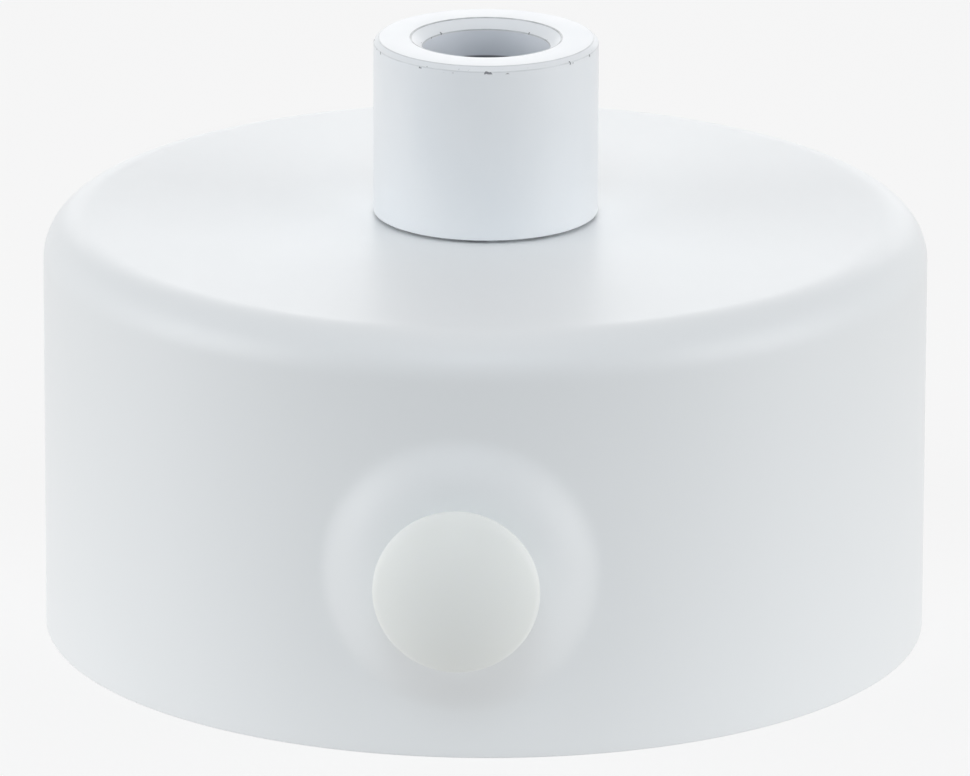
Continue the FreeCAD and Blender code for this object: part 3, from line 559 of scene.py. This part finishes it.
# Painted shade: the bore is darkened, tinted bluer below the chamfer and nearly black from 3.2 mm down
BORE_PAINTED_SHADE = [
    (BORE_CHAMFER_DEPTH + 0.05 * MM, (0.80, 0.87, 1.0), 0.3),
    (3.2 * MM, (0.12, 0.125, 0.14), 0.9),
]
# Rings: where their full strength ends and where they end, as shares of the half width
RING_CORE = 0.5
RING_END = 1.3
# Breaks in the worn and shaded rings, grain of the chips, noise level at which a chip starts, and soft edges
# of the chips and of the painted bore shade
WEAR_SCALE = 700
WEAR_LEAST = 0.45
CHIP_SCALE = 1500
CHIP_LEVEL = 0.64
CHIP_FADE = 0.03
BORE_SHADE_FADE = 0.15 * MM


def ring_mask(tree, rings):
    """Mask of thin rings round the z axis, given as radius, height, half width and strength."""
    place = axis_place(tree)[0]
    mask = None
    for radius, height, half_width, strength in rings:
        far = tree.nodes.new("ShaderNodeVectorMath")
        far.operation = "DISTANCE"
        far.inputs[1].default_value = (radius, 0, height)
        tree.links.new(place, far.inputs[0])
        core, end = half_width * RING_CORE, half_width * RING_END
        line = eased(tree, far.outputs["Value"], core, end, strength, 0.0)
        mask = line if mask is None else joined(tree, "MAXIMUM", mask, line)
    return mask


def worn_and_shaded_collar(tree, colour):
    """Painted shade in the collar's bore, darker and bluer below the chamfer and nearly black deeper down,
    worn lines and chips on the edges, and a painted shadow in the foot's groove.
    """
    reach, height = axis_place(tree)[1:]
    inside = joined(tree, "LESS_THAN", reach, BORE_RADIUS + EDGE_BREAK / 4)
    # Painted shade inside the bore, darker with depth
    for depth, coat, strength in BORE_PAINTED_SHADE:
        top = collar_high.z - depth
        below = eased(tree, height, top - BORE_SHADE_FADE, top, strength, 0.0)
        colour = mixed(tree, joined(tree, "MULTIPLY", inside, below), colour, coat)
    breaks = ranged(tree, noise(tree, WEAR_SCALE, 3), WEAR_LEAST, 1.0)
    # Worn lines on the edges, and the painted shadow in the foot's groove
    wear_and_shade = joined(tree, "MULTIPLY", ring_mask(tree, COLLAR_WEAR_AND_SHADE_RINGS), breaks)
    spots = eased(tree, noise(tree, CHIP_SCALE, 2), CHIP_LEVEL, CHIP_LEVEL + CHIP_FADE, 0.0, 1.0)
    chips = joined(tree, "MULTIPLY", ring_mask(tree, CHIP_RINGS), spots)
    return mixed(tree, joined(tree, "MAXIMUM", wear_and_shade, chips), colour, WORN_AND_SHADE_COLOUR)


# Finishes: scales of their noises per metre, and heights of their grain
PAINT_CLOUD = 60
PAINT_GLOSS = 900
PAINT_PEEL = 1100
PAINT_GRAIN = 5200
PAINT_GRAIN_SHARE = 0.35
PLASTIC_CLOUD = 90
PLASTIC_GLOSS = 2500
PLASTIC_GRAIN = 6000
PLASTIC_GRAIN_HEIGHT = 0.004 * MM
METAL_CLOUD = 320
METAL_GRAIN = 900
METAL_GRAIN_HEIGHT = 0.003 * MM

# Light inside moulded plastic: how far it spreads in metres, and the spread of red, green and blue
GLOW_REACH = 0.002
GLOW_SPREAD = (1.0, 1.0, 0.9)


def satin_paint(name, first, second, roughness_low, roughness_high, ripple, cloud=PAINT_CLOUD, wear_and_shade=None):
    """Satin white powder coat: faint cloudiness, orange peel and fine grain, and worn marks and painted shade
    where given.
    """
    material, tree, shader = new_material(name)
    colour = tinted(tree, noise(tree, cloud, 3, 0.5, (1, 1, 0.5)), first, second)
    if wear_and_shade:
        colour = wear_and_shade(tree, colour)
    tree.links.new(colour, shader.inputs["Base Color"])
    gloss = ranged(tree, noise(tree, PAINT_GLOSS, 3), roughness_low, roughness_high)
    tree.links.new(gloss, shader.inputs["Roughness"])
    grain = noise(tree, PAINT_GRAIN, 2)
    peel = joined(tree, "MULTIPLY_ADD", grain, PAINT_GRAIN_SHARE, noise(tree, PAINT_PEEL, 2))
    bumped(tree, shader, peel, ripple)
    return material


def moulded_plastic(name, first, second, roughness_low, roughness_high, glow, bevel=0.0):
    """Moulded plastic: soft colour, fine spark-eroded grain, and light that glows under its skin."""
    material, tree, shader = new_material(name)
    colour = tinted(tree, noise(tree, PLASTIC_CLOUD, 3), first, second)
    tree.links.new(colour, shader.inputs["Base Color"])
    gloss = ranged(tree, noise(tree, PLASTIC_GLOSS, 3), roughness_low, roughness_high)
    tree.links.new(gloss, shader.inputs["Roughness"])
    bumped(tree, shader, noise(tree, PLASTIC_GRAIN, 3), PLASTIC_GRAIN_HEIGHT, bevel)
    shader.inputs["Subsurface Weight"].default_value = glow
    shader.inputs["Subsurface Scale"].default_value = GLOW_REACH
    shader.inputs["Subsurface Radius"].default_value = GLOW_SPREAD
    return material


def plated_metal(name, first, second, roughness_low, roughness_high, grain, bevel):
    """Plated or plain metal with cloudy tone, grain drawn out along an axis, and softened edges."""
    material, tree, shader = new_material(name)
    shader.inputs["Metallic"].default_value = 1.0
    colour = tinted(tree, noise(tree, METAL_CLOUD, 4, 0.6), first, second)
    tree.links.new(colour, shader.inputs["Base Color"])
    streak = noise(tree, METAL_GRAIN, 3, 0.6, grain)
    tree.links.new(ranged(tree, streak, roughness_low, roughness_high), shader.inputs["Roughness"])
    bumped(tree, shader, streak, METAL_GRAIN_HEIGHT, bevel)
    return material


def seen_rays(tree):
    """Share of rays that show the surroundings: from the camera, and from gloss and clear matter."""
    path = tree.nodes.new("ShaderNodeLightPath")
    seen = joined(tree, "MAXIMUM", path.outputs["Is Camera Ray"], path.outputs["Is Glossy Ray"])
    return joined(tree, "MAXIMUM", seen, path.outputs["Is Transmission Ray"])


# Light table: its lit radius in metres, the soft edge round it, and the glow inside and outside of it
TABLE_RADIUS = 0.095
TABLE_FADE = 0.03
TABLE_GLOW = 0.68
FAR_GLOW = 0.30

# Surroundings as they are seen: the share of light that the floor reflects and its own glow near the
# object, the radii in metres between which both give way to the plain white, and that white
SEEN_SHARE = 0.20
SEEN_GLOW = 0.765
SHADOW_REACH = 0.2
SHADOW_END = 0.5
SEEN_WHITE = 0.92

# Half the floor's side in metres
FLOOR_HALF = 3.0


def pale_floor():
    """Pale light table: bright near the object and dimmer far from it, seen as an even white that keeps
    the object's shadow, and clear from below."""
    material, tree, shader = new_material("pale_floor")
    tree.nodes.remove(shader)
    output = tree.nodes["Material Output"]
    place = tree.nodes.new("ShaderNodeNewGeometry")
    length = tree.nodes.new("ShaderNodeVectorMath")
    length.operation = "LENGTH"
    tree.links.new(place.outputs["Position"], length.inputs[0])
    reach = length.outputs["Value"]
    lighting = tree.nodes.new("ShaderNodeEmission")
    table = eased(tree, reach, TABLE_RADIUS, TABLE_RADIUS + TABLE_FADE, TABLE_GLOW, FAR_GLOW)
    tree.links.new(table, lighting.inputs["Strength"])
    cover = tree.nodes.new("ShaderNodeBsdfDiffuse")
    shade = eased(tree, reach, SHADOW_REACH, SHADOW_END, SEEN_SHARE, 0.0)
    tree.links.new(shade, cover.inputs["Color"])
    glow = tree.nodes.new("ShaderNodeEmission")
    shine = eased(tree, reach, SHADOW_REACH, SHADOW_END, SEEN_GLOW, SEEN_WHITE)
    tree.links.new(shine, glow.inputs["Strength"])
    white = tree.nodes.new("ShaderNodeAddShader")
    tree.links.new(cover.outputs["BSDF"], white.inputs[0])
    tree.links.new(glow.outputs["Emission"], white.inputs[1])
    choice = tree.nodes.new("ShaderNodeMixShader")
    tree.links.new(seen_rays(tree), choice.inputs["Fac"])
    tree.links.new(lighting.outputs["Emission"], choice.inputs[1])
    tree.links.new(white.outputs["Shader"], choice.inputs[2])
    clear = tree.nodes.new("ShaderNodeBsdfTransparent")
    side = tree.nodes.new("ShaderNodeMixShader")
    tree.links.new(place.outputs["Backfacing"], side.inputs["Fac"])
    tree.links.new(choice.outputs["Shader"], side.inputs[1])
    tree.links.new(clear.outputs["BSDF"], side.inputs[2])
    tree.links.new(side.outputs["Shader"], output.inputs["Surface"])
    return material


def make_floor():
    """Wide flat floor under the rim."""
    corners = [(x * FLOOR_HALF, y * FLOOR_HALF, 0) for x, y in ((-1, -1), (1, -1), (1, 1), (-1, 1))]
    mesh = bpy.data.meshes.new("floor")
    mesh.from_pydata(corners, [], [(0, 1, 2, 3)])
    mesh.materials.append(pale_floor())
    floor = bpy.data.objects.new("floor", mesh)
    bpy.context.scene.collection.objects.link(floor)


def softbox(name, place, target, width, height, power, colour):
    """Rectangular area light aimed at a point."""
    data = bpy.data.lights.new(name, "AREA")
    data.shape = "RECTANGLE"
    data.size = width
    data.size_y = height
    data.energy = power
    data.color = colour
    lamp = bpy.data.objects.new(name, data)
    lamp.location = place
    lamp.rotation_mode = "QUATERNION"
    lamp.rotation_quaternion = (Vector(target) - Vector(place)).to_track_quat("-Z", "Y")
    bpy.context.scene.collection.objects.link(lamp)


# Room light: its colour all round, its darker and cooler colour on the camera's side, and how far a
# direction leans to that side where the change starts and is full
ROOM_COLOUR = (0.537, 0.527, 0.528)
ROOM_FRONT_COLOUR = (0.115, 0.126, 0.138)
ROOM_FRONT_START = 0.2
ROOM_FRONT_FULL = 0.9

# Softboxes: place, width, height, power in watts and colour
SOFTBOXES = {
    "key_box": ((0, -0.6, 0.62), 0.3, 0.3, 0.96, (0.88, 0.98, 1.06)),
    "left_box": ((-0.75, -0.25, 0.25), 0.6, 0.5, 2.66, (1, 1, 1)),
    "right_box": ((0.75, -0.25, 0.25), 0.6, 0.5, 2.58, (1, 1, 1)),
    "back_box": ((0, 0.9, 0.32), 0.8, 0.5, 1.74, (1, 1, 1)),
}


def make_room():
    """Evenly lit room that is darker on the camera's side, seen as the floor's plain white."""
    world = bpy.data.worlds.new("room")
    bpy.context.scene.world = world
    world.use_nodes = True
    tree = world.node_tree
    room = tree.nodes.new("ShaderNodeRGB")
    room.outputs["Color"].default_value = (*ROOM_COLOUR, 1)
    coordinates = tree.nodes.new("ShaderNodeTexCoord")
    parts = tree.nodes.new("ShaderNodeSeparateXYZ")
    tree.links.new(coordinates.outputs["Generated"], parts.inputs["Vector"])
    front = eased(tree, parts.outputs["Y"], -ROOM_FRONT_FULL, -ROOM_FRONT_START, 1.0, 0.0)
    light = mixed(tree, front, room.outputs["Color"], ROOM_FRONT_COLOUR)
    shown = mixed(tree, seen_rays(tree), light, (SEEN_WHITE, SEEN_WHITE, SEEN_WHITE))
    tree.links.new(shown, tree.nodes["Background"].inputs["Color"])


def make_light():
    """Even studio light: a dim room in front, a small cool key above it, two sides and a wide back."""
    make_room()
    middle = (0, 0, body_height / 2)
    for name, (place, width, height, power, colour) in SOFTBOXES.items():
        softbox(name, place, middle, width, height, power, colour)


# Camera fitted to the outline of the cup in the photograph: angles in degrees, distance in radii of the cup,
# the cup's radius in the picture, the picture's width, and how far above the cup's middle the camera aims
CAMERA_AZIMUTH = 3.15
CAMERA_ELEVATION = 17.24
CAMERA_ROLL = -0.2
CAMERA_DISTANCE = 26.83
PIXELS_PER_RADIUS = 439.83
IMAGE_WIDTH = 970
AIM_RISE = 2.64 * MM
SENSOR_WIDTH = 36.0
CAMERA_NEAR = 0.05


def make_camera():
    """Long lens at the photograph's angle and framing."""
    data = bpy.data.cameras.new("camera")
    data.sensor_width = SENSOR_WIDTH
    data.lens = PIXELS_PER_RADIUS * CAMERA_DISTANCE / IMAGE_WIDTH * SENSOR_WIDTH
    data.clip_start = CAMERA_NEAR
    camera = bpy.data.objects.new("camera", data)
    azimuth, elevation = math.radians(CAMERA_AZIMUTH), math.radians(CAMERA_ELEVATION)
    back = Vector((math.sin(azimuth) * math.cos(elevation), -math.cos(azimuth) * math.cos(elevation),
                   math.sin(elevation)))
    middle = Vector((0, 0, body_height / 2))
    camera.location = middle + back * CAMERA_DISTANCE * body_radius
    aim = middle + Vector((0, 0, AIM_RISE)) - camera.location
    camera.rotation_mode = "QUATERNION"
    turn = aim.to_track_quat("-Z", "Y").to_matrix()
    roll = math.radians(CAMERA_ROLL)
    up = turn @ Vector((math.sin(roll), math.cos(roll), 0))
    side = aim.normalized().cross(up).normalized()
    for row in range(3):
        turn[row][0] = side[row]
        turn[row][1] = up[row]
    camera.rotation_quaternion = turn.to_quaternion()
    bpy.context.scene.collection.objects.link(camera)
    bpy.context.scene.camera = camera


def give_material(nodes, material):
    """Put a material on CAD nodes that are kept."""
    for name in nodes:
        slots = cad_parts[name].data.materials
        slots.clear()
        slots.append(material)


cup_paint = satin_paint("cup_paint", (0.860, 0.886, 0.898), (0.868, 0.893, 0.906), 0.40, 0.46,
                        ripple=0.004 * MM)
collar_paint = satin_paint("collar_paint", (0.86, 0.895, 0.925), (0.905, 0.93, 0.95), 0.34, 0.40,
                           ripple=0.002 * MM, cloud=120, wear_and_shade=worn_and_shaded_collar)
knob_plastic = moulded_plastic("knob_plastic", (0.875, 0.90, 0.88), (0.885, 0.91, 0.89), 0.5, 0.56, glow=0.15)
clamp_nylon = moulded_plastic("clamp_nylon", (0.80, 0.80, 0.77), (0.84, 0.84, 0.81), 0.38, 0.5,
                              glow=0.3, bevel=0.1 * MM)
block_nylon = moulded_plastic("block_nylon", (0.80, 0.79, 0.73), (0.84, 0.83, 0.77), 0.34, 0.46,
                              glow=0.3, bevel=0.1 * MM)
zinc = plated_metal("zinc_steel", (0.60, 0.61, 0.63), (0.72, 0.73, 0.74), 0.26, 0.42,
                    grain=(1, 0.08, 1), bevel=0.08 * MM)
screw_zinc = plated_metal("screw_zinc", (0.66, 0.66, 0.62), (0.76, 0.75, 0.70), 0.22, 0.34,
                          grain=(1, 1, 0.3), bevel=0.05 * MM)
brass = plated_metal("brass", (0.72, 0.55, 0.26), (0.80, 0.64, 0.34), 0.2, 0.34,
                     grain=(0.1, 1, 1), bevel=0.06 * MM)

make_cup(cup_paint)
make_collar(collar_paint)
make_knob(knob_plastic)
make_tube(zinc)
make_stud(screw_zinc)
give_material(["ceiling_bracket", "lock_washer", "earth_tag", "nipple_nut"], zinc)
give_material(["press_nut", "locating_pin"], zinc)
give_material(["terminal_screw_%d" % number for number in range(1, 7)], screw_zinc)
give_material(["block_fixing_screw_%d" % number for number in range(1, 3)], screw_zinc)
give_material(["terminal_sleeve_%d" % number for number in range(1, 4)], brass)
give_material(["earth_tag_screw", "earth_cup_washer", "bracket_earth_screw"], brass)
give_material(["cord_clamp_body", "cord_clamp_screw", "saddle_washer"], clamp_nylon)
give_material(["terminal_block"], block_nylon)
make_floor()
make_light()
make_camera()
bpy.context.scene.view_settings.view_transform = "Standard"
